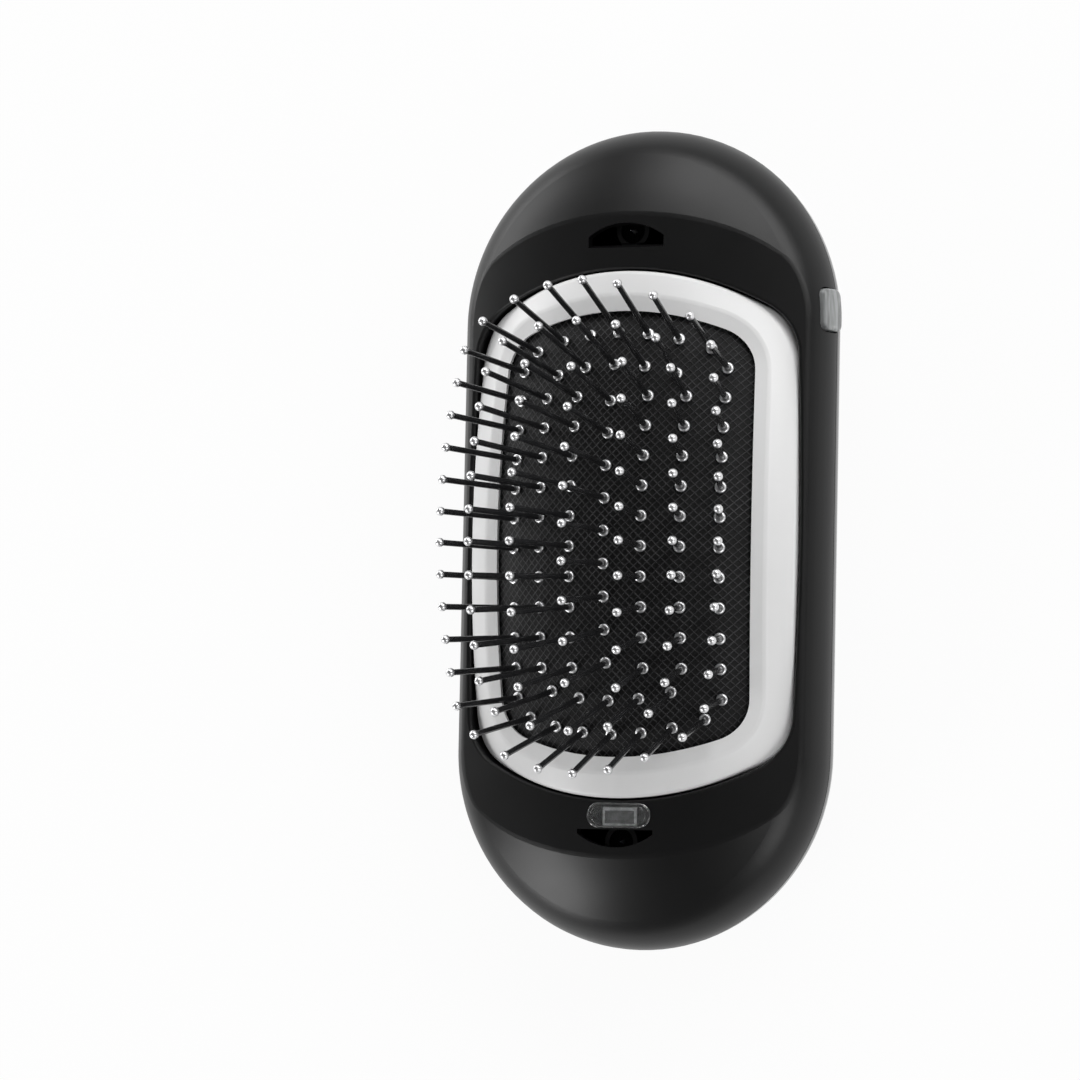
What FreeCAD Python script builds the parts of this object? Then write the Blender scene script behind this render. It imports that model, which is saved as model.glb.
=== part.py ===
"""Ionic styling brush: a pebble body with a lift-off cushion head, a push button and ion outlets.

The brush lies on its back. X is across, Y along the body, Z up. Pieces are drawn with Z = 0 on the
parting plane of the two shells, and lifted by the back's depth when they are written, so that the
back's flat is at Z = 0.
"""
import FreeCAD, Part
import math
import os

Vec = FreeCAD.Vector
UP = Vec(0, 0, 1)
ALONG = Vec(0, 1, 0)
ACROSS = Vec(1, 0, 0)

# Body
body_length = 167.2
body_width = 80.0
front_height = 19.0
front_edge_radius = 11.5
back_depth = 18.0
back_edge_radius = 12.0
back_flat_width = 20.0
wall = 2.2
seam_gap = 0.25
lip_thickness = 1.0
lip_height = 1.6
lip_clearance = 0.1
floor_crest = 15.7
floor_side_drop = 6.9
crease_radius = 3.0

# Head and its recess
head_side_margin = 5.0
head_end_margin = 30.6
head_side_radius = 900.0
head_end_radius = 60.0
head_corner_radius = 11.4
frame_side_band = 7.6
frame_end_band = 8.2
pad_corner_radius = 9.0
head_gap = 0.45
recess_wall = 1.8
recess_round = 0.6
deck_top = 3.5
deck_thickness = 2.0
frame_crest = 23.6
frame_side_drop = 14.3
frame_end_drop = 7.1
frame_skin = 2.0
frame_wall = 1.8
frame_round = 1.0
frame_bevel_width = 3.4
frame_bevel_drop = 1.4
frame_ridge_round = 2.0
head_seat_gap = 0.3
base_thickness = 1.6
base_clearance = 0.2
rim_thickness = 2.2
tongue_length = 5.0
tongue_width = 8.0
tongue_thickness = 1.6
tongue_x = 20.0
tongue_y = 31.0
tongue_clearance = 0.3

# Cushion and pins
cushion_edge_drop = 3.1
cushion_bulge = 3.4
cushion_thickness = 1.6
cushion_grid_across = 13
cushion_grid_along = 17
cushion_flange = 2.6
seat_gap = 0.1
column_edge = 5.6
column_pitch = 7.4
column_end = 11.6
pin_pitch = 6.0
middle_pitch = 6.5
inner_arc_edge = 11.4
inner_arc_step = 6.3
inner_arc_side = 9.2
inner_arc_radius = 45.0
outer_arc_edge = 4.8
outer_arc_step = 6.2
outer_arc_side = 3.2
outer_arc_radius = 56.0
arc_gap = 6.2
pin_length = 23.0
pin_diameter = 1.2
ball_diameter = 2.3
collar_diameter = 2.4
collar_height = 0.35
pin_root = 0.55
pin_root_diameter = 0.5
lean_across = 19.5
lean_along = 22.0
lean_fade_margin = 5.4
lean_power = 1.3

# Button and switch
button_from_end = 38.0
button_z = 2.6
button_length = 8.5
button_height = 6.0
button_corner = 1.6
button_stand = 0.9
button_round = 0.5
button_gap = 0.3
button_depth = 4.8
button_travel = 0.6
stem_width = 3.2
stem_height = 2.6
lug_reach = 1.2
lug_thickness = 1.0
lug_low = -1.8
lug_high = 1.2
switch_setback = 9.0
switch_depth = 4.0
switch_width = 6.0
switch_height = 5.1
plunger_diameter = 3.0
plunger_rise = 3.1
plunger_stand = 1.6
plunger_depth = 2.0
running_clearance = 0.05

# Electronics
board_top = -4.0
board_thickness = 1.6
board_left_margin = 14.0
board_from_bay = 5.4
board_length = 25.0
board_shell_gap = 2.0
post_inset = 4.5
post_left_inset = 5.0
post_right_inset = 11.0
post_diameter = 6.0
chip_width = 12.0
chip_length = 8.0
chip_height = 2.2
chip_x = -2.0
coil_diameter = 8.0
coil_height = 4.6
coil_x = 14.0
capacitor_diameter = 5.0
capacitor_height = 5.0
capacitor_x = -14.0
generator_width = 34.0
generator_length = 17.0
generator_height = 12.0
generator_corner = 1.5
generator_from_bay = 6.9
generator_bottom = -13.0
rib_thickness = 2.0
rib_height = 3.0
needle_from_end = 21.9
needle_diameter = 1.0
needle_bottom = 3.0
needle_top = 13.0
needle_tip = 3.0
holder_diameter = 5.0
holder_bottom = 5.5
holder_top = 10.5
socket_wall = 1.0
socket_headroom = 1.5
outlet_from_end = 22.55
outlet_width = 16.2
outlet_depth = 3.6
outlet_blunt = 0.9
outlet_slope = 1.8
lens_from_end = 27.2
lens_x = 0.8
lens_length = 13.6
lens_width = 5.0
lens_depth = 1.3
lens_stand = 0.4
lens_round = 0.5
lens_gap = 0.05
led_offset = 0.2
led_width = 7.4
led_depth = 3.4
led_bottom = 9.0
led_gap = 0.15
leg_spacing = 2.54
leg_size = 0.5
leg_bottom = 6.0
led_lead_z = -2.0

# Cells
cell_diameter = 10.5
cell_length = 44.5
cell_nub_diameter = 3.8
cell_nub_length = 1.0
cell_round = 0.6
cell_spacing = 10.8
bay_clearance = 0.3
bay_wall = 1.6
bay_floor = -8.2
contact_thickness = 0.4
contact_size = 8.0
contact_seat = 0.05
tab_width = 2.4
tab_reach = 2.6
tab_z = -4.8
spring_length = 6.55
spring_wire = 0.6
spring_turns = 4
spring_large = 3.6
spring_small = 2.4
spring_gap_limit = 0.4

# Leads and screws
lead_diameter = 1.2
high_voltage_diameter = 1.6
led_lead_diameter = 0.8
bend_share = 0.45
case_screw_x = 24.0
case_screw_y = 20.0
case_boss_diameter = 6.5
screw_diameter = 2.2
screw_length = 9.0
screw_head_diameter = 4.4
screw_head_height = 1.5
screw_head_round = 0.4
screw_head_stand = 0.2
screw_slot_width = 0.7
screw_slot_depth = 0.7
screw_slot_share = 0.65
screw_clearance = 0.3
board_screw_diameter = 1.8
board_screw_length = 6.0
board_screw_head_diameter = 4.0

# Worked out from the driving dimensions
half_width = body_width / 2
half_length = body_length / 2
half_straight = half_length - half_width
head_width = body_width - 2 * head_side_margin
head_length = body_length - 2 * head_end_margin
pad_width = head_width - 2 * frame_side_band
pad_length = head_length - 2 * frame_end_band
floor_radius = ((head_width / 2)**2 + floor_side_drop**2) / (2 * floor_side_drop)
frame_radius_across = ((head_width / 2)**2 + frame_side_drop**2) / (2 * frame_side_drop)
frame_radius_along = ((head_length / 2)**2 + frame_end_drop**2) / (2 * frame_end_drop)
column_reach = pad_width / 2 - column_edge
inner_arc_y = pad_length / 2 - inner_arc_edge
outer_arc_y = pad_length / 2 - outer_arc_edge
deck_bottom = deck_top - deck_thickness
head_bottom = deck_top + head_seat_gap
case_seat = deck_top - screw_head_height + screw_head_stand
button_y = half_length - button_from_end
button_inner_x = half_width - button_depth
switch_face_x = half_width - switch_setback
needle_y = half_length - needle_from_end
outlet_y = half_length - outlet_from_end
lens_y = half_length - lens_from_end
led_y = lens_y + led_offset
bay_half_width = (cell_spacing + cell_diameter) / 2 + bay_clearance
bay_length = cell_length + spring_length + 2 * contact_thickness + 3 * contact_seat
bay_end = bay_length / 2 + bay_wall
cell_z = bay_floor + bay_clearance / 2 + cell_diameter / 2
board_left = board_left_margin - half_width
board_right = switch_face_x
board_near = bay_end + board_from_bay
board_far = board_near + board_length
board_posts = ((board_left + post_left_inset, board_near + post_inset),
               (board_left + post_left_inset, board_far - post_inset),
               (board_right - post_right_inset, board_near + post_inset))
generator_y = -(bay_end + generator_from_bay + generator_length / 2)
far = 200.0
margin = 1.0
hair = 1e-4
rim_band = 0.01
dome_share = 0.97
dome_sweep = 80.0


def box(x0, x1, y0, y1, z0, z1):
    """Box between two corners."""
    return Part.makeBox(x1 - x0, y1 - y0, z1 - z0, Vec(x0, y0, z0))


def rod(diameter, z0, z1, x=0.0, y=0.0):
    """Upright cylinder between two heights."""
    return Part.makeCylinder(diameter / 2, z1 - z0, Vec(x, y, z0), UP)


def joined(first, *others):
    """One solid from pieces that overlap."""
    return first.fuse(list(others)).removeSplitter()


def oval_quarter(reach, height, edge_radius):
    """Centre height and radius of the crown arc that meets the edge arc without a corner."""
    crown = (reach**2 + height**2 - 2 * reach * edge_radius) / (2 * (height - edge_radius))
    return height - crown, crown


def half_section(height, edge_radius, flat, inset, upward):
    """Right half of a shell's cross-section: edge arc, crown arc, and a flat of the given half width."""
    sign = 1 if upward else -1
    crown_z, crown = oval_quarter(half_width - flat, height, edge_radius)
    edge_centre = Vec(half_width - edge_radius, 0, 0)
    crown_centre = Vec(flat, 0, crown_z)
    toward_edge = (edge_centre - crown_centre).normalize()
    small = edge_radius - inset
    large = crown - inset
    turn = math.atan2(toward_edge.z, toward_edge.x)
    middle_turn = (turn + math.pi / 2) / 2

    def at(point):
        return Vec(point.x, 0, sign * point.z)

    def on(centre, radius, angle):
        return at(centre + Vec(math.cos(angle), 0, math.sin(angle)) * radius)

    start = on(edge_centre, small, 0)
    join = on(edge_centre, small, turn)
    crest = on(crown_centre, large, math.pi / 2)
    edges = [
        Part.makeLine(Vec(0, 0, 0), start),
        Part.Arc(start, on(edge_centre, small, turn / 2), join).toShape(),
        Part.Arc(join, on(crown_centre, large, middle_turn), crest).toShape(),
    ]
    middle = Vec(0, 0, crest.z)
    if flat > 0:
        edges.append(Part.makeLine(crest, middle))
    edges.append(Part.makeLine(middle, Vec(0, 0, 0)))
    return Part.Face(Part.Wire(edges))


def pebble_half(face):
    """Half body: the section drawn along the straight and turned round each end."""
    section = face.copy()
    section.translate(ALONG * -half_straight)
    right = section.extrude(ALONG * (2 * half_straight))
    left = right.mirror(Vec(0, 0, 0), ACROSS)
    ends = []
    for side in (1, -1):
        start = face.copy()
        start.translate(ALONG * (side * half_straight))
        ends.append(start.revolve(ALONG * (side * half_straight), UP, side * 180))
    return joined(right, left, *ends)


def front_half(inset):
    """Front of the body, set in by the given amount."""
    return pebble_half(half_section(front_height, front_edge_radius, 0, inset, True))


def back_half(inset):
    """Back of the body, set in by the given amount."""
    return pebble_half(half_section(back_depth, back_edge_radius, back_flat_width / 2, inset, False))


def stadium(inset, z0, z1):
    """Upright block with the body's plan outline, set in by the given amount."""
    radius = half_width - inset
    middle = box(-radius, radius, -half_straight, half_straight, z0, z1)
    ends = [rod(2 * radius, z0, z1, 0, side * half_straight) for side in (1, -1)]
    return joined(middle, *ends)


def below_floor(inset):
    """Everything under the gently crowned floor that the head is let into."""
    axis_point = Vec(0, -far, floor_crest - floor_radius)
    roller = Part.makeCylinder(floor_radius - inset, 2 * far, axis_point, ALONG)
    roller.rotate(axis_point, ALONG, 180)
    return roller


def head_outline(width, length, corner, grow, z0, z1):
    """Upright block with bowed sides, bowed ends and round corners, all tangent, grown by an amount."""
    side = head_side_radius + grow
    end = head_end_radius + grow
    round_off = corner + grow
    side_centre = Vec(width / 2 - head_side_radius, 0, 0)
    end_centre = Vec(0, length / 2 - head_end_radius, 0)
    reach_side = side - round_off
    reach_end = end - round_off
    apart = end_centre - side_centre
    along = (reach_side**2 - reach_end**2 + apart.Length**2) / (2 * apart.Length)
    across = math.sqrt(reach_side**2 - along**2)
    heading = Vec(apart).normalize()
    corner_centre = side_centre + heading * along + Vec(-heading.y, heading.x, 0) * across
    on_side = side_centre + (corner_centre - side_centre).normalize() * side
    on_end = end_centre + (corner_centre - end_centre).normalize() * end
    bisector = ((on_side - corner_centre) + (on_end - corner_centre)).normalize()
    on_corner = corner_centre + bisector * round_off

    def flip(point, sx, sy):
        return Vec(point.x * sx, point.y * sy, z0)

    def arc(a, b, c):
        return Part.Arc(a, b, c).toShape()

    side_middle = Vec(width / 2 + grow, 0, 0)
    end_middle = Vec(0, length / 2 + grow, 0)
    edges = [
        arc(flip(on_side, 1, -1), flip(side_middle, 1, 1), flip(on_side, 1, 1)),
        arc(flip(on_side, 1, 1), flip(on_corner, 1, 1), flip(on_end, 1, 1)),
        arc(flip(on_end, 1, 1), flip(end_middle, 1, 1), flip(on_end, -1, 1)),
        arc(flip(on_end, -1, 1), flip(on_corner, -1, 1), flip(on_side, -1, 1)),
        arc(flip(on_side, -1, 1), flip(side_middle, -1, 1), flip(on_side, -1, -1)),
        arc(flip(on_side, -1, -1), flip(on_corner, -1, -1), flip(on_end, -1, -1)),
        arc(flip(on_end, -1, -1), flip(end_middle, 1, -1), flip(on_end, 1, -1)),
        arc(flip(on_end, 1, -1), flip(on_corner, 1, -1), flip(on_side, 1, -1)),
    ]
    return Part.Face(Part.Wire(edges)).extrude(UP * (z1 - z0))


def head_block(grow, z0, z1):
    """Block with the frame's outer outline."""
    return head_outline(head_width, head_length, head_corner_radius, grow, z0, z1)


def pad_block(grow, z0, z1):
    """Block with the outline of the opening in the frame."""
    return head_outline(pad_width, pad_length, pad_corner_radius, grow, z0, z1)


def dome(crest, across, along):
    """Solid under a double-curved dome with the given crest and radii: an arc turned about a low axis."""
    reach = dome_share * across
    edge_z = crest - across + math.sqrt(across**2 - reach**2)
    base_z = crest - along / 2
    right = Vec(reach, 0, edge_z)
    left = Vec(-reach, 0, edge_z)
    arc = Part.Arc(left, Vec(0, 0, crest), right).toShape()
    rest = Part.makePolygon([right, Vec(reach, 0, base_z), Vec(-reach, 0, base_z), left])
    face = Part.Face(Part.Wire([arc] + rest.Edges))
    pivot = Vec(0, 0, crest - along)
    face.rotate(pivot, ACROSS, -dome_sweep / 2)
    return face.revolve(pivot, ACROSS, dome_sweep)


def pill(length, width, x, y, z0, z1):
    """Upright block with round ends, long across the body."""
    reach = (length - width) / 2
    middle = box(x - reach, x + reach, y - width / 2, y + width / 2, z0, z1)
    ends = [rod(width, z0, z1, x + side * reach, y) for side in (1, -1)]
    return joined(middle, *ends)


def rounded(shape, radius, edges):
    """The shape with some edges rounded."""
    return shape.makeFillet(radius, edges)


def rim_edges(shape, test):
    """Edges of which every sampled point passes a test."""
    chosen = []
    for edge in shape.Edges:
        if all(test(point) for point in edge.discretize(5)):
            chosen.append(edge)
    return chosen


def edges_on(shape, surface, region):
    """Edges that lie on a surface and inside a region."""
    return rim_edges(shape, lambda p: region.isInside(p, hair, True)
                     and Part.Vertex(p).distToShape(surface)[0] < rim_band)


def tube(path, diameter):
    """One unbroken round tube along a wire of lines and arcs."""
    start = path.Edges[0]
    heading = start.tangentAt(start.FirstParameter)
    ring = Part.Wire(Part.makeCircle(diameter / 2, start.valueAt(start.FirstParameter), heading))
    sweep = Part.BRepOffsetAPI.MakePipeShell(path)
    sweep.add(ring)
    sweep.build()
    sweep.makeSolid()
    return sweep.shape()


def lead_path(points):
    """Straight runs joined by tangent arcs, each as large as its runs allow."""
    edges = []
    here = points[0]
    for before, corner, after in zip(points, points[1:], points[2:]):
        arrive = corner - before
        leave = after - corner
        turn = arrive.getAngle(leave)
        trim = bend_share * min(arrive.Length, leave.Length)
        enter = corner - Vec(arrive).normalize() * trim
        exit_point = corner + Vec(leave).normalize() * trim
        radius = trim / math.tan(turn / 2)
        inward = (Vec(leave).normalize() - Vec(arrive).normalize()).normalize()
        middle = corner + inward * (radius / math.cos(turn / 2) - radius)
        edges.append(Part.makeLine(here, enter))
        edges.append(Part.Arc(enter, middle, exit_point).toShape())
        here = exit_point
    edges.append(Part.makeLine(here, points[-1]))
    return Part.Wire(edges)


def lead(points, diameter):
    """Insulated lead through points chosen by hand."""
    return tube(lead_path([Vec(*point) for point in points]), diameter)


def arc_from(start, heading, finish):
    """Arc that leaves a point along a heading and ends at another point."""
    chord = finish - start
    along = Vec(chord).normalize()
    lean = heading.getAngle(chord)
    side = (heading - along * heading.dot(along)).normalize()
    middle = start + chord * 0.5 + side * (chord.Length / 2 * math.tan(lean / 2))
    return Part.Arc(start, middle, finish).toShape()


def biarc(start, heading, finish, leaving):
    """Two tangent arcs between two points with given headings."""
    gap = finish - start
    both = heading + leaving
    square = 2 * (heading.dot(leaving) - 1)
    linear = -2 * gap.dot(both)
    constant = gap.dot(gap)
    reach = (-linear - math.sqrt(linear**2 - 4 * square * constant)) / (2 * square)
    reach = reach if reach > 0 else (-linear + math.sqrt(linear**2 - 4 * square * constant)) / (2 * square)
    meet = (start + heading * reach + finish - leaving * reach) * 0.5
    return [arc_from(start, heading, meet), arc_from(finish, leaving * -1, meet)]


def coil_point(angle, rise_per_turn, centre):
    """Point and heading of a conical coil that climbs along Y."""
    share = angle / (2 * math.pi * spring_turns)
    radius = spring_large + (spring_small - spring_large) * share
    shrink = (spring_small - spring_large) / (2 * math.pi * spring_turns)
    rise = rise_per_turn / (2 * math.pi)
    point = centre + Vec(radius * math.cos(angle), rise * angle, radius * math.sin(angle))
    heading = Vec(shrink * math.cos(angle) - radius * math.sin(angle), rise,
                  shrink * math.sin(angle) + radius * math.cos(angle))
    return point, heading.normalize()


def battery_spring(x, y_plate, y_cell):
    """Conical coil between a contact plate and the flat end of a cell."""
    way = 1 if y_cell > y_plate else -1
    room = abs(y_cell - y_plate) - spring_wire - 2 * seat_gap
    pitch = room / spring_turns
    base = Vec(0, spring_wire / 2 + seat_gap, 0)
    edges = []
    for quarter in range(4 * spring_turns):
        start = coil_point(quarter * math.pi / 2, pitch, base)
        finish = coil_point((quarter + 1) * math.pi / 2, pitch, base)
        edges += biarc(*start, *finish)
    self_gap = math.hypot(pitch, (spring_large - spring_small) / spring_turns) - spring_wire
    print("spring: least gap to itself %.2f mm" % self_gap)
    if self_gap < spring_gap_limit:
        raise ValueError("the spring's turns are too close")
    coil = tube(Part.Wire(Part.__sortEdges__(edges)), spring_wire)
    if way < 0:
        coil = coil.mirror(Vec(0, 0, 0), ALONG)
    coil.translate(Vec(x, y_plate, cell_z))
    return coil


def button_outline(grow, x0, x1):
    """Block across the body's side with the button's rounded-square outline."""
    half_length = button_length / 2 + grow
    half_height = button_height / 2 + grow
    block = box(x0, x1, button_y - half_length, button_y + half_length,
                button_z - half_height, button_z + half_height)
    corners = rim_edges(block, lambda p: abs(abs(p.y - button_y) - half_length) < hair
                        and abs(abs(p.z - button_z) - half_height) < hair)
    return rounded(block, button_corner + grow, corners)


def outlet_wire(side, shift, z):
    """Half-moon with blunt ends, its straight edge shifted toward the head by an amount."""
    half = outlet_width / 2
    straight = outlet_y - outlet_depth / 2
    near = side * (straight - shift)
    shoulder = side * (straight + outlet_blunt)
    tip = Vec(0, side * (outlet_y + outlet_depth / 2), z)
    left, right = Vec(-half, shoulder, z), Vec(half, shoulder, z)
    low_left, low_right = Vec(-half, near, z), Vec(half, near, z)
    return Part.Wire([Part.Arc(left, tip, right).toShape(), Part.makeLine(right, low_right),
                      Part.makeLine(low_right, low_left), Part.makeLine(low_left, left)])


def outlet_cut(side):
    """Half-moon opening with its round edge toward the end of the body.

    The upper one's straight wall slopes down into it. The lower one's is upright, as the lens is there.
    """
    shift = outlet_slope if side > 0 else 0
    low = holder_top + margin
    depth = floor_crest + margin - low
    block = Part.Face(outlet_wire(side, shift, low)).extrude(UP * depth)
    if not shift:
        return block
    foot = Vec(-outlet_width, side * (outlet_y - outlet_depth / 2), low)
    slope = UP * depth - ALONG * side * shift
    start, finish = foot - slope, foot + slope * 2
    corner = Vec(foot.x, finish.y, start.z)
    ramp = Part.Face(Part.makePolygon([start, finish, corner, start])).extrude(ACROSS * 2 * outlet_width)
    return block.cut(ramp)


def screw_spots():
    """Places of the case screws."""
    return [(sx * case_screw_x, sy * case_screw_y) for sx in (1, -1) for sy in (1, -1)]


def tongue_spots():
    """Places of the head's tongues."""
    return [(sx * tongue_x, sy * tongue_y) for sx in (1, -1) for sy in (1, -1)]


def tongue(x, y, grow, z0, z1):
    """Upright tongue, long across the body."""
    half_long = tongue_width / 2 + grow
    half_thick = tongue_thickness / 2 + grow
    return box(x - half_long, x + half_long, y - half_thick, y + half_thick, z0, z1)


def make_front_shell():
    """Front half: domed skin, floor, head recess with its deck, battery bay, outlets and sockets."""
    outer = front_half(0).common(below_floor(0))
    floor_axis = floor_crest - floor_radius
    crease = rim_edges(outer, lambda p: p.z > margin
                       and abs(math.hypot(p.x, p.z - floor_axis) - floor_radius) < hair)
    outer = rounded(outer, crease_radius, crease)
    void = front_half(wall).common(below_floor(wall))
    void = void.cut(head_block(head_gap + recess_wall, deck_bottom, far))
    shell = outer.cut(void).cut(head_block(head_gap, deck_top, far))
    rim_outside = head_block(head_gap + rim_band, deck_top + margin, far)
    rim_inside = head_block(head_gap - rim_band, deck_top, far)
    rim = rim_edges(shell, lambda p: rim_outside.isInside(p, hair, True)
                    and not rim_inside.isInside(p, hair, True))
    shell = rounded(shell, recess_round, rim)
    bay = box(-bay_half_width - bay_wall, bay_half_width + bay_wall, -bay_end, bay_end,
              bay_floor - bay_wall, deck_bottom + deck_thickness / 2)
    sockets = []
    for side in (1, -1):
        sockets.append(rod(holder_diameter + 2 * socket_wall, holder_bottom, floor_crest - wall / 2,
                           0, side * needle_y))
    shell = joined(shell, bay, *sockets)
    cuts = [box(-bay_half_width, bay_half_width, -bay_length / 2, bay_length / 2, bay_floor, far)]
    for side in (1, -1):
        cuts.append(rod(holder_diameter + 2 * running_clearance, holder_bottom - margin,
                        holder_top + socket_headroom, 0, side * needle_y))
        cuts.append(outlet_cut(side))
    for x, y in screw_spots():
        cuts.append(rod(screw_diameter + 2 * screw_clearance, deck_bottom - margin, deck_top + margin, x, y))
        cuts.append(rod(screw_head_diameter + 2 * screw_clearance, case_seat, deck_top + margin, x, y))
    for x, y in tongue_spots():
        cuts.append(tongue(x, y, tongue_clearance, deck_bottom - margin, deck_top + margin))
    tabs = [contact_tab(x, seat_gap) for x in (-cell_spacing / 2, cell_spacing / 2)]
    lens_bottom = floor_crest - lens_depth
    cuts.append(pill(lens_length + 2 * lens_gap, lens_width + 2 * lens_gap, lens_x, -lens_y,
                     lens_bottom, far))
    cuts.append(led_body(led_gap, floor_crest))
    cuts.append(button_outline(button_gap, button_inner_x - 2 * margin, far))
    lip_room = stadium(wall - lip_thickness - lip_clearance, -margin, lip_height + lip_clearance)
    cuts.append(lip_room.cut(stadium(wall + margin, -margin, lip_height + 2 * margin)))
    cuts.append(stadium(-margin, -margin, seam_gap / 2))
    bay_walls = bay.cut(cuts[0]).cut(tabs)
    return joined(shell.cut(cuts + tabs), bay_walls)


def make_back_shell():
    """Back half: glossy skin with a lip, screw bosses, board posts and ribs under the ion generator."""
    inner = back_half(wall)
    shell = back_half(0).cut(inner)
    shell = shell.cut(stadium(-margin, -seam_gap / 2, margin))
    lip = stadium(wall - lip_thickness, -wall, lip_height)
    lip = lip.cut(stadium(wall, -wall - margin, lip_height + margin))
    solid_back = back_half(wall / 2)
    holders = []
    for x, y in screw_spots():
        holders.append(rod(case_boss_diameter, -back_depth, -seam_gap, x, y).common(solid_back))
        holders.append(rod(case_boss_diameter, -margin, deck_bottom - seat_gap, x, y))
    post_top = board_top - board_thickness - seat_gap
    for x, y in board_posts:
        holders.append(rod(post_diameter, -back_depth, post_top, x, y).common(solid_back))
    for side in (1, -1):
        rib_y = generator_y + side * generator_length / 4
        rib = box(-generator_width / 2 - rib_thickness, generator_width / 2 + rib_thickness,
                  rib_y - rib_thickness / 2, rib_y + rib_thickness / 2, -back_depth,
                  generator_bottom + rib_height)
        holders.append(rib.common(solid_back))
    shell = joined(shell, lip, *holders)
    half_seat = generator_width / 2 + seat_gap
    cuts = [box(-half_seat, half_seat, generator_y - generator_length, generator_y + generator_length,
                generator_bottom - seat_gap, 0)]
    for x, y in screw_spots():
        hole = screw_diameter + 2 * running_clearance
        cuts.append(rod(hole, deck_bottom - screw_length - margin, far, x, y))
    for x, y in board_posts:
        hole = board_screw_diameter + 2 * running_clearance
        cuts.append(rod(hole, board_top - board_screw_length - margin, far, x, y))
    cuts.append(button_outline(button_gap, button_inner_x - 2 * margin, far))
    return shell.cut(cuts)


def make_brush_frame():
    """White ring: domed skin, round outer edge, inner bevel with a soft ridge, and an outer wall."""
    ring = head_block(0, head_bottom, far / 2).cut(pad_block(0, 0, far))
    ring = ring.common(dome(frame_crest, frame_radius_across, frame_radius_along))
    hollow = head_block(-frame_wall, 0, far / 2).common(
        dome(frame_crest - frame_skin, frame_radius_across - frame_skin, frame_radius_along - frame_skin))
    ring = ring.cut(hollow)
    top = [edge for edge in ring.Edges if min(p.z for p in edge.discretize(5)) > head_bottom + margin]
    outside = head_block(-rim_band, 0, far / 2)
    outer_rim = [edge for edge in top if not outside.isInside(edge.discretize(3)[1], hair, True)]
    ring = rounded(ring, frame_round, outer_rim)
    surface = dome(frame_crest, frame_radius_across, frame_radius_along).Shells[0]
    inner_rim = edges_on(ring, surface, pad_block(rim_band, 0, far / 2))
    ring = ring.makeChamfer(frame_bevel_width, frame_bevel_drop, inner_rim)
    ridge = edges_on(ring, surface, pad_block(frame_bevel_width + rim_band, 0, far / 2))
    return rounded(ring, frame_ridge_round, ridge)


def frame_height(x, y):
    """Height of the frame's dome, also where the frame is open."""
    ring = frame_radius_along - frame_radius_across + math.sqrt(frame_radius_across**2 - x**2)
    return frame_crest - frame_radius_along + math.sqrt(ring**2 - y**2)


def cushion_height(x, y):
    """Height of the cushion's top: the frame's dome lowered at the edge and blown up in the middle."""
    reach_x = pad_width / 2 + cushion_flange
    reach_y = pad_length / 2 + cushion_flange
    crown = (1 - (x / reach_x)**2) * (1 - (y / reach_y)**2)
    return frame_height(x, y) - cushion_edge_drop + cushion_bulge * crown


def below_cushion(drop):
    """Solid under the cushion's top, lowered by an amount."""
    reach_x = pad_width / 2 + 2 * cushion_flange
    reach_y = pad_length / 2 + 2 * cushion_flange
    rows = []
    for i in range(cushion_grid_across):
        x = reach_x * (2 * i / (cushion_grid_across - 1) - 1)
        steps = range(cushion_grid_along)
        row_y = [reach_y * (2 * j / (cushion_grid_along - 1) - 1) for j in steps]
        rows.append([Vec(x, y, cushion_height(x, y) - drop) for y in row_y])
    surface = Part.BSplineSurface()
    surface.interpolate(rows)
    return surface.toShape().extrude(UP * -far)


def make_pad_base():
    """Plate under the head with a rim that carries the cushion and four tongues that locate it."""
    plate = head_block(-frame_wall - base_clearance, head_bottom, head_bottom + base_thickness)
    under = frame_skin + base_clearance
    plate = plate.common(dome(frame_crest - under, frame_radius_across - under, frame_radius_along - under))
    rim = pad_block(cushion_flange, head_bottom, far / 2)
    rim = rim.cut(pad_block(cushion_flange - rim_thickness, 0, far))
    rim = rim.common(below_cushion(cushion_thickness + seat_gap))
    tongues = [tongue(x, y, 0, head_bottom - tongue_length, head_bottom + base_thickness / 2)
               for x, y in tongue_spots()]
    return joined(plate, rim, *tongues)


def make_cushion():
    """Crowned rubber sheet with air under it, its edge held below the frame."""
    sheet = pad_block(cushion_flange, 0, far / 2).common(below_cushion(0))
    return sheet.cut(below_cushion(cushion_thickness))


def column_rows(reach, pitch):
    """Places along a column of pins that stays within a reach of the middle."""
    count = int(2 * reach / pitch + hair) + 1
    return [(k - (count - 1) / 2) * pitch for k in range(count)]


def pin_spots():
    """Places of all pins: columns at even steps round the dome, closed by two arcs at each end."""
    inner_reach = inner_arc_y - arc_gap
    outer_reach = pad_length / 2 - column_end
    spots = [(0.0, y) for y in column_rows(inner_reach, middle_pitch)]
    columns = round(column_reach / column_pitch)
    step = math.asin(column_reach / frame_radius_across) / columns
    for k in range(1, columns + 1):
        x = frame_radius_across * math.sin(k * step)
        for y in column_rows(outer_reach if k == columns else inner_reach, pin_pitch):
            spots += [(x, y), (-x, y)]
    arcs = ((inner_arc_y, inner_arc_step, inner_arc_side, inner_arc_radius),
            (outer_arc_y, outer_arc_step, outer_arc_side, outer_arc_radius))
    for top, step, side_margin, radius in arcs:
        side_count = int((column_reach - side_margin) / step + hair)
        for k in range(-side_count, side_count + 1):
            x = k * step
            y = top - x**2 / (2 * radius)
            spots += [(x, y), (x, -y)]
    return spots


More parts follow.
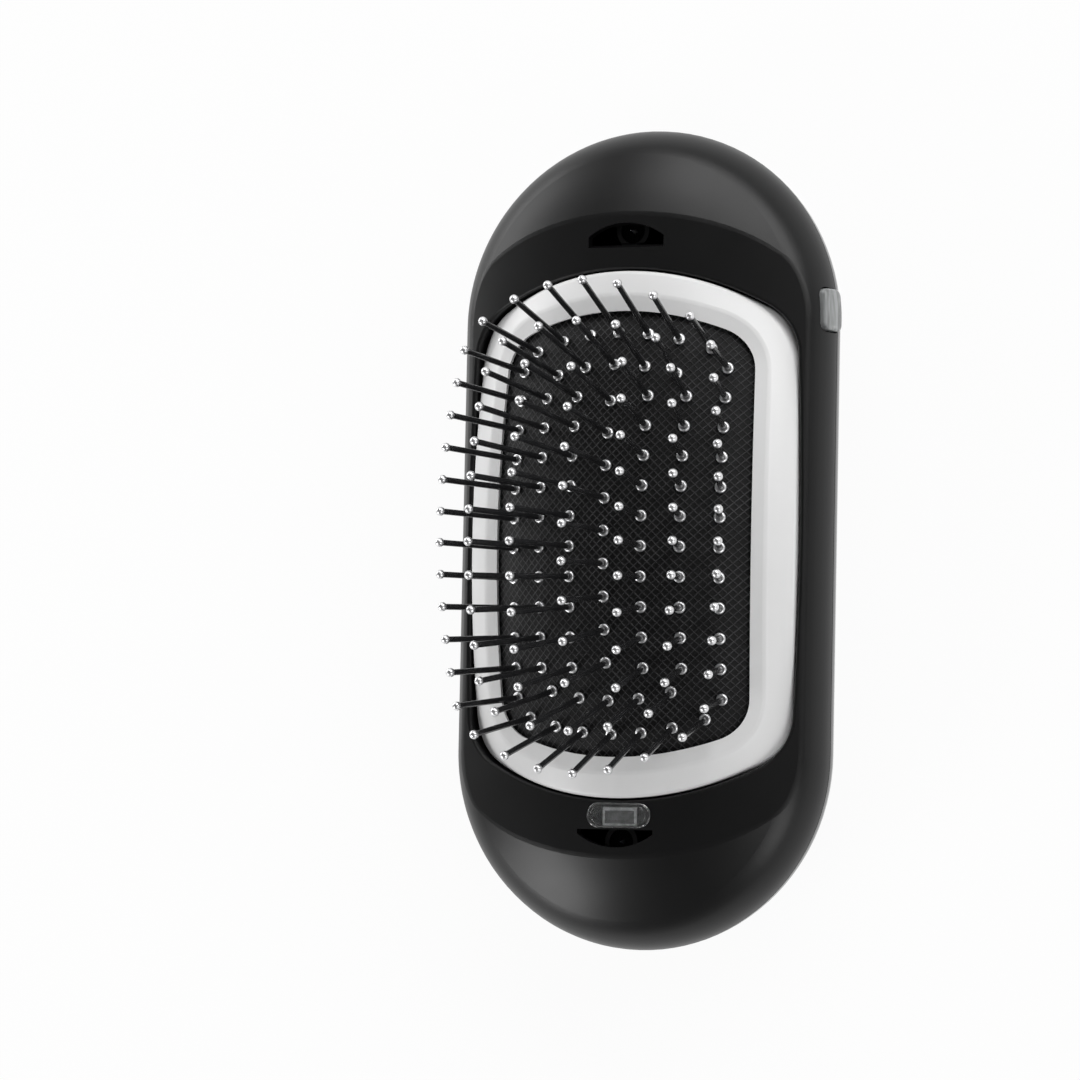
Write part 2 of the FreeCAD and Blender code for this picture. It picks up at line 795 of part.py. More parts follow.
def pin_heading(x, y):
    """Direction of a pin: it leans outwards, less so toward the corners."""
    across_share = math.sin(math.pi / 2 * x / column_reach)
    along_share = math.copysign(abs(y / outer_arc_y)**lean_power, y)
    across = lean_across * across_share * (1 - (y / (pad_length / 2 + lean_fade_margin))**2)
    along = lean_along * along_share * (1 - (x / (pad_width / 2))**2)
    return Vec(math.tan(math.radians(across)), math.tan(math.radians(along)), 1).normalize()


def make_pins():
    """Pins, balls and collars, each a group of separate solids seated on the cushion."""
    pins = []
    balls = []
    collars = []
    for x, y in pin_spots():
        heading = pin_heading(x, y)
        spot = Vec(x, y, cushion_height(x, y))
        foot = spot + heading * pin_root
        tip = spot + heading * pin_length
        bare = pin_length - pin_root - ball_diameter / 2
        root = Part.makeCone(pin_root_diameter / 2, pin_diameter / 2, pin_root - seat_gap,
                             spot + heading * seat_gap, heading)
        pins.append(joined(root, Part.makeCylinder(pin_diameter / 2, bare, foot, heading)))
        balls.append(Part.makeSphere(ball_diameter / 2, tip))
        collar = Part.makeCylinder(collar_diameter / 2, collar_height, foot, heading)
        bore = Part.makeCylinder(pin_diameter / 2 + running_clearance, collar_height, foot, heading)
        collars.append(collar.cut(bore))
    return Part.makeCompound(pins), Part.makeCompound(balls), Part.makeCompound(collars)


def make_power_button():
    """Rounded-square button that follows the body's side, with lugs that keep it in and a stem."""
    outside = joined(front_half(-button_stand), back_half(-button_stand))
    cap = button_outline(0, button_inner_x, far).common(outside)
    cap = rounded(cap, button_round, rim_edges(cap, lambda p: p.x > button_inner_x + lug_thickness))
    half_lugs = button_length / 2 + lug_reach
    lugs = box(button_inner_x, button_inner_x + lug_thickness, button_y - half_lugs, button_y + half_lugs,
               lug_low, lug_high)
    stem_z = board_top + plunger_rise
    stem_start = switch_face_x + plunger_stand + running_clearance
    stem = box(stem_start, button_inner_x + lug_thickness / 2, button_y - stem_width / 2,
               button_y + stem_width / 2, stem_z - stem_height / 2, stem_z + stem_height / 2)
    return joined(cap, lugs, stem)


def make_switch():
    """Side-push switch on the board, and its plunger."""
    body = box(switch_face_x - switch_depth, switch_face_x, button_y - switch_width / 2,
               button_y + switch_width / 2, board_top, board_top + switch_height)
    height = board_top + plunger_rise
    start = Vec(switch_face_x - plunger_depth, button_y, height)
    plunger = Part.makeCylinder(plunger_diameter / 2, plunger_depth + plunger_stand, start, ACROSS)
    bore_start = start - ACROSS * (button_travel + seat_gap)
    bore = Part.makeCylinder(plunger_diameter / 2 + running_clearance, far, bore_start, ACROSS)
    return body.cut(bore), plunger


def make_main_board():
    """Circuit board with screw holes, and the parts soldered on it."""
    board = box(board_left, board_right, board_near, board_far, board_top - board_thickness, board_top)
    board = board.common(stadium(wall + board_shell_gap, -back_depth, 0))
    for x, y in board_posts:
        board = board.cut(rod(board_screw_diameter + 2 * screw_clearance, -far, far, x, y))
    middle_y = (board_near + board_far) / 2
    chip = box(chip_x - chip_width / 2, chip_x + chip_width / 2, middle_y - chip_length / 2,
               middle_y + chip_length / 2, board_top, board_top + chip_height)
    coil = rod(coil_diameter, board_top, board_top + coil_height, coil_x, middle_y + coil_diameter / 2)
    capacitor = rod(capacitor_diameter, board_top, board_top + capacitor_height, capacitor_x, middle_y)
    return board, Part.makeCompound([chip, coil, capacitor])


def make_ion_generator():
    """Potted high-voltage module with rounded upright corners."""
    block = box(-generator_width / 2, generator_width / 2, generator_y - generator_length / 2,
                generator_y + generator_length / 2, generator_bottom, generator_bottom + generator_height)
    upright = rim_edges(block, lambda p: abs(abs(p.x) - generator_width / 2) < hair
                        and abs(abs(p.y - generator_y) - generator_length / 2) < hair)
    return rounded(block, generator_corner, upright)


def make_emitter(side):
    """Needle with a ground tip, and the plastic plug that holds it in its socket."""
    y = side * needle_y
    shank = rod(needle_diameter, needle_bottom, needle_top - needle_tip, 0, y)
    tip = Part.makeCone(needle_diameter / 2, 0, needle_tip, Vec(0, y, needle_top - needle_tip), UP)
    plug = rod(holder_diameter, holder_bottom, holder_top, 0, y)
    plug = plug.cut(rod(needle_diameter + 2 * running_clearance, 0, far, 0, y))
    return joined(shank, tip), plug


def led_body(grow, top):
    """Block of the lamp's body, grown by an amount."""
    return box(lens_x - led_width / 2 - grow, lens_x + led_width / 2 + grow, -led_y - led_depth / 2 - grow,
               -led_y + led_depth / 2 + grow, led_bottom, top)


def make_indicator():
    """Clear lens and the lamp below it."""
    lens_bottom = floor_crest - lens_depth
    lens = pill(lens_length, lens_width, lens_x, -lens_y, lens_bottom + lens_gap, floor_crest + lens_stand)
    rim = rim_edges(lens, lambda p: abs(p.z - floor_crest - lens_stand) < hair)
    lamp = led_body(0, lens_bottom - led_gap)
    legs = []
    for side in (1, -1):
        x = lens_x + side * leg_spacing / 2
        legs.append(box(x - leg_size / 2, x + leg_size / 2, -led_y - leg_size / 2, -led_y + leg_size / 2,
                        leg_bottom, led_bottom + margin))
    return rounded(lens, lens_round, rim), joined(lamp, *legs)


def contact_tab(x, grow):
    """Solder tab of a contact, through the end wall of the battery bay."""
    inner = bay_length / 2 - contact_thickness
    return box(x - tab_width / 2 - grow, x + tab_width / 2 + grow, inner, bay_length / 2 + tab_reach,
               tab_z - contact_thickness / 2 - grow, tab_z + contact_thickness / 2 + grow)


def make_cells():
    """Two cells that lie side by side, turned opposite ways."""
    cells = []
    seat = bay_length / 2 - contact_thickness - 2 * contact_seat
    for x, way in ((-cell_spacing / 2, 1), (cell_spacing / 2, -1)):
        nub_end = Vec(x, way * seat, cell_z)
        can_end = nub_end - ALONG * (way * cell_nub_length)
        can = Part.makeCylinder(cell_diameter / 2, cell_length - cell_nub_length, can_end, ALONG * -way)
        nub = Part.makeCylinder(cell_nub_diameter / 2, cell_nub_length + margin, nub_end,
                                ALONG * -way)
        can = rounded(can, cell_round, can.Edges[:1])
        cells.append(joined(can, nub))
    return cells


def make_contacts():
    """Plates at both ends of the bay, and a coil spring at each cell's flat end."""
    plate_y = bay_length / 2 - contact_seat
    half = contact_size / 2
    plates = []
    for x in (-cell_spacing / 2, cell_spacing / 2):
        plate = box(x - half, x + half, plate_y - contact_thickness, plate_y, cell_z - half, cell_z + half)
        plates.append(joined(plate, contact_tab(x, 0)))
    reach = cell_spacing / 2 + half
    plates.append(box(-reach, reach, -plate_y, -plate_y + contact_thickness, cell_z - half, cell_z + half))
    plate_face = plate_y - contact_thickness
    flat_end = bay_length / 2 - contact_thickness - 2 * contact_seat - cell_length
    springs = [battery_spring(-cell_spacing / 2, -plate_face, flat_end),
               battery_spring(cell_spacing / 2, plate_face, -flat_end)]
    return Part.makeCompound(plates), Part.makeCompound(springs)


def make_leads():
    """All internal leads, each from terminal to terminal."""
    generator_near = generator_y + generator_length / 2
    generator_far = generator_y - generator_length / 2
    lower = lead([(6, generator_far, -5), (6, -57, -5), (0, -needle_y, -5), (0, -needle_y, needle_bottom)],
                 high_voltage_diameter)
    upper = lead([(-15, generator_near, -7), (-15, generator_near + 5, -7), (-17.5, -20, -8), (-17, 10, -9),
                  (-14, 40, -9.5), (-6, 60, -8.5), (0, needle_y, -4), (0, needle_y, needle_bottom)],
                 high_voltage_diameter)
    edge_z = board_top - board_thickness / 2
    supply = [lead([(x, board_near, edge_z), (x, board_near - 5, edge_z), (x + 1.5, 10, -7),
                    (x + 1, -14, -6.4), (x - 0.5, generator_near + 5, -5), (x - 0.5, generator_near, -5)],
                   lead_diameter) for x in (14.8, 16.6)]
    led = [lead([(x, -led_y, leg_bottom), (x, -led_y, led_lead_z), (x, generator_far, led_lead_z)],
                led_lead_diameter) for x in (lens_x + leg_spacing / 2, lens_x - leg_spacing / 2)]
    tab_end = bay_length / 2 + tab_reach
    battery = [Part.makeCylinder(lead_diameter / 2, board_near - tab_end, Vec(x, tab_end, tab_z), ALONG)
               for x in (-cell_spacing / 2, cell_spacing / 2)]
    return upper, lower, Part.makeCompound(supply), Part.makeCompound(led), Part.makeCompound(battery)


def screw(x, y, seat, diameter, length, head):
    """Pan-head screw with its head seated at a height."""
    top = seat + screw_head_height
    shaft = rod(diameter, seat - length, seat + margin, x, y)
    cap = rod(head, seat, top, x, y)
    cap = rounded(cap, screw_head_round, rim_edges(cap, lambda p: abs(p.z - top) < hair))
    long_half = screw_slot_share * head / 2
    thin_half = screw_slot_width / 2
    slot = box(x - long_half, x + long_half, y - thin_half, y + thin_half, top - screw_slot_depth, far)
    cross = box(x - thin_half, x + thin_half, y - long_half, y + long_half, top - screw_slot_depth, far)
    return joined(shaft, cap).cut(joined(slot, cross))


def make_screws():
    """Case screws under the head, and board screws."""
    case = [screw(x, y, case_seat, screw_diameter, screw_length, screw_head_diameter)
            for x, y in screw_spots()]
    board = [screw(x, y, board_top, board_screw_diameter, board_screw_length, board_screw_head_diameter)
             for x, y in board_posts]
    return Part.makeCompound(case), Part.makeCompound(board)


def make_parts():
    """Every piece by its node name."""
    parts = {
        "front_shell": make_front_shell(),
        "back_shell": make_back_shell(),
        "brush_frame": make_brush_frame(),
        "pad_base": make_pad_base(),
        "cushion": make_cushion(),
        "power_button": make_power_button(),
        "ion_generator": make_ion_generator(),
    }
    parts["bristle_pins"], parts["ball_tips"], parts["pin_collars"] = make_pins()
    parts["push_switch"], parts["switch_plunger"] = make_switch()
    parts["main_board"], parts["board_components"] = make_main_board()
    parts["upper_emitter_needle"], parts["upper_emitter_holder"] = make_emitter(1)
    parts["lower_emitter_needle"], parts["lower_emitter_holder"] = make_emitter(-1)
    parts["indicator_lens"], parts["indicator_led"] = make_indicator()
    parts["battery_cell_1"], parts["battery_cell_2"] = make_cells()
    parts["battery_contacts"], parts["battery_springs"] = make_contacts()
    leads = make_leads()
    names = ("upper_high_voltage_lead", "lower_high_voltage_lead", "supply_leads", "led_leads",
             "battery_leads")
    parts.update(zip(names, leads))
    parts["case_screws"], parts["board_screws"] = make_screws()
    return parts


def main():
    """Lift every piece so that the back's flat is at zero, and write it."""
    os.makedirs("parts", exist_ok=True)
    for name, shape in make_parts().items():
        shape.translate(UP * back_depth)
        bounds = shape.BoundBox
        print("%-24s solids %3d valid %s volume %9.1f z %.2f to %.2f"
              % (name, len(shape.Solids), shape.isValid(), shape.Volume, bounds.ZMin, bounds.ZMax))
        shape.exportStep("parts/%s.step" % name)


if __name__ == "__main__":
    main()
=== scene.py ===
"""Looks of the ionic styling brush: finishes, woven cushion, eyelets, balls, lens, lamp and studio.

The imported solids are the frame, in metres. The brush lies on its back: X across, Y along, Z up along the
pins. Every new piece takes its place from the solid that it stands for or sits on.
"""
from __future__ import annotations

import logging
import math
from dataclasses import dataclass, field
from enum import Enum

import bmesh
import bpy
import numpy as np
from mathutils import Matrix, Vector
from mathutils.bvhtree import BVHTree

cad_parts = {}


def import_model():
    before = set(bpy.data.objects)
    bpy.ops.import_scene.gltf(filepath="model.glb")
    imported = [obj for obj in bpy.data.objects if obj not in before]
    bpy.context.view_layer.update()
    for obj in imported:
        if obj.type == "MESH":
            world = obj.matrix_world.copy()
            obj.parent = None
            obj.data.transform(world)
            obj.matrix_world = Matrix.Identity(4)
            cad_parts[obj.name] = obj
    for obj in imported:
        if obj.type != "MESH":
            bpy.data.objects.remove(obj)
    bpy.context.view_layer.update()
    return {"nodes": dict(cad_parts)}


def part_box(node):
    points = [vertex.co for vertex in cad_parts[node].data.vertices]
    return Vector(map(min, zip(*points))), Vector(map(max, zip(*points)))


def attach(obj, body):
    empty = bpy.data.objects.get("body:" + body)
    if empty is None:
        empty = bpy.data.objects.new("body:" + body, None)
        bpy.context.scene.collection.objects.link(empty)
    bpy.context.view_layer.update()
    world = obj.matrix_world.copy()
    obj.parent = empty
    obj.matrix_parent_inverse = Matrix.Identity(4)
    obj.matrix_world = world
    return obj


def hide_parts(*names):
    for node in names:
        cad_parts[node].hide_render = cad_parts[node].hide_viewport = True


LOG = logging.getLogger("styling_brush")
MM = 0.001
WELD = 0.001 * MM
Colour = tuple[float, float, float]
Nodes = dict[str, bpy.types.Object]


def rgba(colour: Colour, gain: float = 1.0) -> tuple[float, float, float, float]:
    """Give a colour full alpha.

    Args:
        colour: Linear red, green and blue.
        gain: Factor on the three of them.

    Returns:
        The colour with an alpha of one.
    """
    return (colour[0] * gain, colour[1] * gain, colour[2] * gain, 1.0)


class Body(Enum):
    """Bodies of the frame that pieces ride on."""

    CASE = "body"
    HEAD = "brush_head"


class Shader:
    """Node tree of one material, with short calls that add and join nodes."""

    def __init__(self, name: str) -> None:
        """Start a material with one Principled shader.

        Args:
            name: Name of the material.
        """
        self.material = bpy.data.materials.new(name)
        self.material.use_nodes = True
        self.tree = self.material.node_tree
        self.surface = next(node for node in self.tree.nodes if node.type == "BSDF_PRINCIPLED")

    def feed(self, node: bpy.types.Node, inputs: dict[str | int, object]) -> None:
        """Set inputs of a node, or join them to outputs of others.

        Args:
            node: Node whose inputs are fed.
            inputs: A value or an output socket for each input, by name or index.
        """
        for key, value in inputs.items():
            socket = node.inputs[key]
            if isinstance(value, bpy.types.NodeSocket):
                self.tree.links.new(value, socket)
            else:
                socket.default_value = value

    def add(self, kind: str, inputs: dict[str | int, object] | None = None,
            **settings: object) -> bpy.types.Node:
        """Add a node.

        Args:
            kind: Blender's name of the node type.
            inputs: Values or sockets for its inputs.
            **settings: Properties of the node.

        Returns:
            The new node.
        """
        node = self.tree.nodes.new(kind)
        for name, value in settings.items():
            setattr(node, name, value)
        self.feed(node, inputs or {})
        return node

    def place(self, stretch: tuple[float, float, float] = (1.0, 1.0, 1.0),
              turn: float = 0.0) -> bpy.types.NodeSocket:
        """Object coordinates, scaled and then turned about Z.

        Args:
            stretch: Factor along each axis.
            turn: Angle in radians.

        Returns:
            The vector socket.
        """
        coordinates = self.add("ShaderNodeTexCoord")
        mapping = self.add("ShaderNodeMapping", {
            "Vector": coordinates.outputs["Object"], "Rotation": (0.0, 0.0, turn), "Scale": stretch})
        return mapping.outputs["Vector"]

    def noise(self, vector: bpy.types.NodeSocket, scale: float, detail: float = 2.0) -> bpy.types.NodeSocket:
        """Soft random values from 0 to 1.

        Args:
            vector: Where the noise is read.
            scale: Cells per unit of the vector.
            detail: Octaves of finer noise.

        Returns:
            The value socket.
        """
        node = self.add("ShaderNodeTexNoise", {"Vector": vector, "Scale": scale, "Detail": detail})
        return node.outputs["Fac"]

    def spread(self, value: bpy.types.NodeSocket, low: float, high: float,
               start: float = 0.0, stop: float = 1.0) -> bpy.types.NodeSocket:
        """Carry a stretch of values smoothly to another.

        Args:
            value: Socket to carry.
            low: Result at the start of the stretch.
            high: Result at its end.
            start: Start of the stretch.
            stop: End of the stretch.

        Returns:
            The value socket.
        """
        node = self.add("ShaderNodeMapRange", {
            "Value": value, "From Min": start, "From Max": stop, "To Min": low, "To Max": high},
            interpolation_type="SMOOTHSTEP")
        return node.outputs["Result"]

    def math(self, operation: str, first: object, second: object = 0.0) -> bpy.types.NodeSocket:
        """Work out one value from two.

        Args:
            operation: Blender's name of the operation.
            first: First value or socket.
            second: Second value or socket.

        Returns:
            The value socket.
        """
        return self.add("ShaderNodeMath", {0: first, 1: second}, operation=operation).outputs["Value"]

    def mix(self, share: object, first: object, second: object) -> bpy.types.NodeSocket:
        """Mix two colours.

        Args:
            share: Share of the second colour.
            first: First colour or socket.
            second: Second colour or socket.

        Returns:
            The colour socket.
        """
        return self.add("ShaderNodeMix", {0: share, 6: first, 7: second}, data_type="RGBA").outputs[2]

    def bump(self, height: bpy.types.NodeSocket, depth: float) -> bpy.types.NodeSocket:
        """Turn heights into a bent normal.

        Args:
            height: Heights from 0 to 1.
            depth: Depth in metres of the full height.

        Returns:
            The normal socket.
        """
        node = self.add("ShaderNodeBump", {"Height": height, "Distance": depth, "Strength": 1.0})
        return node.outputs["Normal"]


@dataclass(frozen=True)
class Finish:
    """A named material that is made once and shared by the pieces that have it."""

    name: str

    def paint(self, shader: Shader) -> None:
        """Build the finish's nodes.

        Args:
            shader: Tree to build in.
        """
        raise NotImplementedError

    def material(self) -> bpy.types.Material:
        """Material of the finish, made on first use."""
        found = bpy.data.materials.get(self.name)
        if found is not None:
            return found
        shader = Shader(self.name)
        self.paint(shader)
        return shader.material

    def dress(self, *pieces: bpy.types.Object) -> None:
        """Give pieces this finish.

        Args:
            *pieces: Objects whose material slots are filled.
        """
        for piece in pieces:
            if not piece.material_slots:
                piece.data.materials.append(self.material())
            for slot in piece.material_slots:
                slot.material = self.material()
            LOG.info("%s: %s", piece.name, self.name)


@dataclass(frozen=True)
class MouldedPlastic(Finish):
    """Opaque plastic with a spark-eroded grain and faint flow clouds."""

    colour: Colour
    roughness: float
    grain_pitch: float = 0.30 * MM
    grain_depth: float = 0.006 * MM
    cloud_pitch: float = 14.0 * MM
    cloud_share: float = 0.10
    specular: float = 0.5
    octaves: float = 3.0
    cloud_weight: float = 0.8
    grain_weight: float = 0.2
    roughness_spread: float = 0.1

    def paint(self, shader: Shader) -> None:
        """Grain as bump, clouds in colour and roughness.

        Args:
            shader: Tree to build in.
        """
        at = shader.place()
        grain = shader.noise(at, 1.0 / self.grain_pitch, detail=self.octaves)
        cloud = shader.noise(at, 1.0 / self.cloud_pitch, detail=self.octaves)
        patch = shader.math("ADD", shader.math("MULTIPLY", cloud, self.cloud_weight),
                            shader.math("MULTIPLY", grain, self.grain_weight))
        shader.feed(shader.surface, {
            "Base Color": shader.mix(patch, rgba(self.colour, 1.0 - self.cloud_share),
                                     rgba(self.colour, 1.0 + self.cloud_share)),
            "Roughness": shader.spread(patch, (1.0 - self.roughness_spread) * self.roughness,
                                       (1.0 + self.roughness_spread) * self.roughness),
            "Specular IOR Level": self.specular,
            "Normal": shader.bump(grain, self.grain_depth),
        })


@dataclass(frozen=True)
class BrightMetal(Finish):
    """Polished or plated metal with fine rubbing marks."""

    colour: Colour
    roughness: float
    mark_pitch: float = 0.12 * MM
    mark_depth: float = 0.003 * MM
    stretch: tuple[float, float, float] = (1.0, 1.0, 1.0)
    octaves: float = 4.0
    tarnish_scale: float = 0.1
    tarnish_gain: float = 0.92
    roughness_spread: float = 0.3

    def paint(self, shader: Shader) -> None:
        """Marks in roughness and bump, and a slight tarnish in the colour.

        Args:
            shader: Tree to build in.
        """
        marks = shader.noise(shader.place(self.stretch), 1.0 / self.mark_pitch, detail=self.octaves)
        tarnish = shader.noise(shader.place(), self.tarnish_scale / self.mark_pitch)
        shader.feed(shader.surface, {
            "Base Color": shader.mix(tarnish, rgba(self.colour, self.tarnish_gain), rgba(self.colour)),
            "Metallic": 1.0,
            "Roughness": shader.spread(marks, (1.0 - self.roughness_spread) * self.roughness,
                                       (1.0 + self.roughness_spread) * self.roughness),
            "Normal": shader.bump(marks, self.mark_depth),
        })


@dataclass(frozen=True)
class ClearPlastic(Finish):
    """Clear or smoky plastic that light goes through, with faint flow lines."""

    colour: Colour
    roughness: float
    clearness: float
    index: float = 1.49
    streak_pitch: float = 1.2 * MM
    streak_depth: float = 0.01 * MM
    streak_share: float = 0.2
    stretch: tuple[float, float, float] = (1.0, 1.0, 0.15)
    streak_start: float = 0.35
    streak_stop: float = 0.65
    roughness_spread: float = 0.2

    def paint(self, shader: Shader) -> None:
        """Flow lines in colour, roughness and bump.

        Args:
            shader: Tree to build in.
        """
        flow = shader.noise(shader.place(self.stretch), 1.0 / self.streak_pitch)
        streaks = shader.spread(flow, 0.0, 1.0, self.streak_start, self.streak_stop)
        shader.feed(shader.surface, {
            "Base Color": shader.mix(streaks, rgba(self.colour, 1.0 - self.streak_share), rgba(self.colour)),
            "Transmission Weight": self.clearness,
            "IOR": self.index,
            "Roughness": shader.spread(streaks, (1.0 - self.roughness_spread) * self.roughness,
                                       (1.0 + self.roughness_spread) * self.roughness),
            "Normal": shader.bump(streaks, self.streak_depth),
        })


@dataclass(frozen=True)
class DiamondWeave(Finish):
    """Black cushion skin of fine threads that cross on the bias, over and under, with painted sheen on the
    raised threads.
    """

    ground: Colour = (0.0024, 0.0024, 0.0026)
    # Thread colour, far lighter than the black ground: painted sheen on the raised threads.
    thread_sheen: Colour = (0.054, 0.054, 0.056)
    pitch: float = 1.22 * MM
    thread_share: float = 0.18
    crossing_lift: float = 0.16
    depth: float = 0.20 * MM
    fibre_pitch: float = 0.14 * MM
    fibre_octaves: float = 3.0
    fibre_relief: float = 0.12
    bias: float = math.radians(45.0)
    wear_scale: float = 0.02
    worn_gain: float = 0.55
    wear_start: float = 0.3
    wear_stop: float = 0.7
    ground_roughness: float = 0.60
    thread_roughness: float = 0.36
    specular: float = 0.22

    def _threads(self, shader: Shader, along: bpy.types.NodeSocket) -> bpy.types.NodeSocket:
        """Rounded ridges at whole steps.

        Args:
            shader: Tree to build in.
            along: Coordinate counted in pitches.

        Returns:
            Socket that is 1 on a ridge and 0 beside it.
        """
        within = shader.math("ABSOLUTE", shader.math("SUBTRACT", shader.math("FRACT", along), 0.5))
        return shader.spread(within, 1.0, 0.0, 0.0, self.thread_share)

    def paint(self, shader: Shader) -> None:
        """Two sets of crossing threads with fibres on them, and painted sheen where they stand high.

        Args:
            shader: Tree to build in.
        """
        step = 1.0 / self.pitch
        at = shader.place((step, step, step), self.bias)
        axes = shader.add("ShaderNodeSeparateXYZ", {"Vector": at})
        first = self._threads(shader, axes.outputs["X"])
        second = self._threads(shader, axes.outputs["Y"])
        waves = [shader.math("SINE", shader.math("MULTIPLY", axes.outputs[name], math.pi)) for name in "XY"]
        over = shader.math("MULTIPLY", *waves)
        lift = shader.math("MULTIPLY", over, self.crossing_lift)
        level = 1.0 - self.crossing_lift
        upper = shader.math("MULTIPLY", first, shader.math("ADD", level, lift))
        lower = shader.math("MULTIPLY", second, shader.math("SUBTRACT", level, lift))
        weave = shader.math("MAXIMUM", upper, lower)
        fibres = shader.noise(shader.place(), 1.0 / self.fibre_pitch, detail=self.fibre_octaves)
        worn = shader.noise(shader.place(), self.wear_scale / self.fibre_pitch)
        height = shader.math("ADD", weave, shader.math("MULTIPLY", fibres, self.fibre_relief))
        wear = shader.spread(worn, self.worn_gain, 1.0, self.wear_start, self.wear_stop)
        # Painted sheen: the colour follows the weave's height and is lightest where a thread rides over a
        # crossing. The wear noise dims it at random.
        painted_sheen = shader.math("MULTIPLY", weave, wear)
        shader.feed(shader.surface, {
            "Base Color": shader.mix(painted_sheen, rgba(self.ground), rgba(self.thread_sheen)),
            "Roughness": shader.spread(weave, self.ground_roughness, self.thread_roughness),
            "Specular IOR Level": self.specular,
            "Normal": shader.bump(height, self.depth),
        })


@dataclass(frozen=True)
class CircuitBoard(Finish):
    """Solder mask with copper tracks showing faintly through it."""

    mask: Colour = (0.012, 0.11, 0.045)
    track: Colour = (0.03, 0.19, 0.07)
    track_pitch: float = 1.6 * MM
    course_scale: float = 0.25
    track_width: float = 0.05
    track_blur: float = 0.4
    track_depth: float = 0.03 * MM
    mask_roughness: float = 0.32
    track_roughness: float = 0.22

    def paint(self, shader: Shader) -> None:
        """Tracks from offset courses of bricks.

        Args:
            shader: Tree to build in.
        """
        courses = shader.add("ShaderNodeTexBrick", {
            "Vector": shader.place(), "Scale": self.course_scale / self.track_pitch,
            "Mortar Size": self.track_width, "Mortar Smooth": self.track_blur})
        tracks = courses.outputs["Fac"]
        shader.feed(shader.surface, {
            "Base Color": shader.mix(tracks, rgba(self.mask), rgba(self.track)),
            "Roughness": shader.spread(tracks, self.mask_roughness, self.track_roughness),
            "Normal": shader.bump(tracks, self.track_depth),
        })


@dataclass(frozen=True)
class CellWrap(Finish):
    """Printed sleeve of a dry cell: a plain field with a plain band at one end."""

    field_colour: Colour
    band_colour: Colour
    band_start: float
    band_stop: float
    edge: float = 0.2 * MM
    rub_scale: float = 0.4 / MM
    rub_octaves: float = 4.0
    rub_depth: float = 0.004 * MM
    metallic: float = 0.4
    smooth_roughness: float = 0.24
    rubbed_roughness: float = 0.42

    def paint(self, shader: Shader) -> None:
        """Band by place along the body, with rubbed print.

        Args:
            shader: Tree to build in.
        """
        axes = shader.add("ShaderNodeSeparateXYZ", {"Vector": shader.place()})
        along = axes.outputs["Y"]
        after = shader.spread(along, 0.0, 1.0, self.band_start - self.edge, self.band_start + self.edge)
        before = shader.spread(along, 1.0, 0.0, self.band_stop - self.edge, self.band_stop + self.edge)
        rubbed = shader.noise(shader.place(), self.rub_scale, detail=self.rub_octaves)
        band = shader.math("MULTIPLY", after, before)
        shader.feed(shader.surface, {
            "Base Color": shader.mix(band, rgba(self.field_colour), rgba(self.band_colour)),
            "Metallic": self.metallic,
            "Roughness": shader.spread(rubbed, self.smooth_roughness, self.rubbed_roughness),
            "Normal": shader.bump(rubbed, self.rub_depth),
        })


SATIN_FRONT = MouldedPlastic("satin_front_plastic", (0.0030, 0.0030, 0.0032), 0.38, specular=0.36)
GLOSS_BACK = MouldedPlastic("gloss_back_plastic", (0.010, 0.010, 0.011), 0.10, grain_pitch=2.5 * MM,
                            grain_depth=0.003 * MM, specular=0.30)
WHITE_FRAME = MouldedPlastic("white_frame_plastic", (0.80, 0.80, 0.80), 0.34, grain_depth=0.004 * MM,
                             cloud_share=0.02)
INNER_BLACK = MouldedPlastic("inner_black_plastic", (0.018, 0.018, 0.019), 0.5)
PIN_BLACK = MouldedPlastic("pin_black_nylon", (0.016, 0.016, 0.017), 0.20, grain_pitch=0.2 * MM,
                           grain_depth=0.003 * MM, specular=0.9)
SWITCH_BLACK = MouldedPlastic("switch_black_plastic", (0.02, 0.02, 0.022), 0.45)
PLUNGER_WHITE = MouldedPlastic("plunger_white_plastic", (0.75, 0.75, 0.73), 0.4)
# Emitter holders: their own black plastic, darkened further as painted shade so that they fade into the
# outlets.
HOLDER_SHADED_BLACK = MouldedPlastic("holder_black_painted_shade", (0.003, 0.003, 0.003), 0.60, specular=0.06)
COMPONENT_GREY = MouldedPlastic("component_grey_epoxy", (0.035, 0.035, 0.037), 0.5, grain_depth=0.01 * MM)
POTTING_GREY = MouldedPlastic("potting_grey_resin", (0.055, 0.058, 0.062), 0.3, grain_pitch=1.5 * MM,
                              grain_depth=0.03 * MM)
LEAD_RED = MouldedPlastic("lead_red_insulation", (0.42, 0.012, 0.012), 0.36, grain_depth=0.004 * MM)
LEAD_BLACK = MouldedPlastic("lead_black_insulation", (0.014, 0.014, 0.015), 0.36, grain_depth=0.004 * MM)
BUTTON_SMOKE = ClearPlastic("button_smoke_plastic", (0.68, 0.70, 0.70), 0.20, 0.55, streak_share=0.5,
                            stretch=(1.0, 0.1, 1.0))
LENS_CLEAR = ClearPlastic("lens_clear_plastic", (0.90, 0.91, 0.91), 0.09, 0.97)
LED_MILK = ClearPlastic("led_milky_resin", (0.96, 0.97, 0.97), 0.3, 0.02, streak_share=0.05)
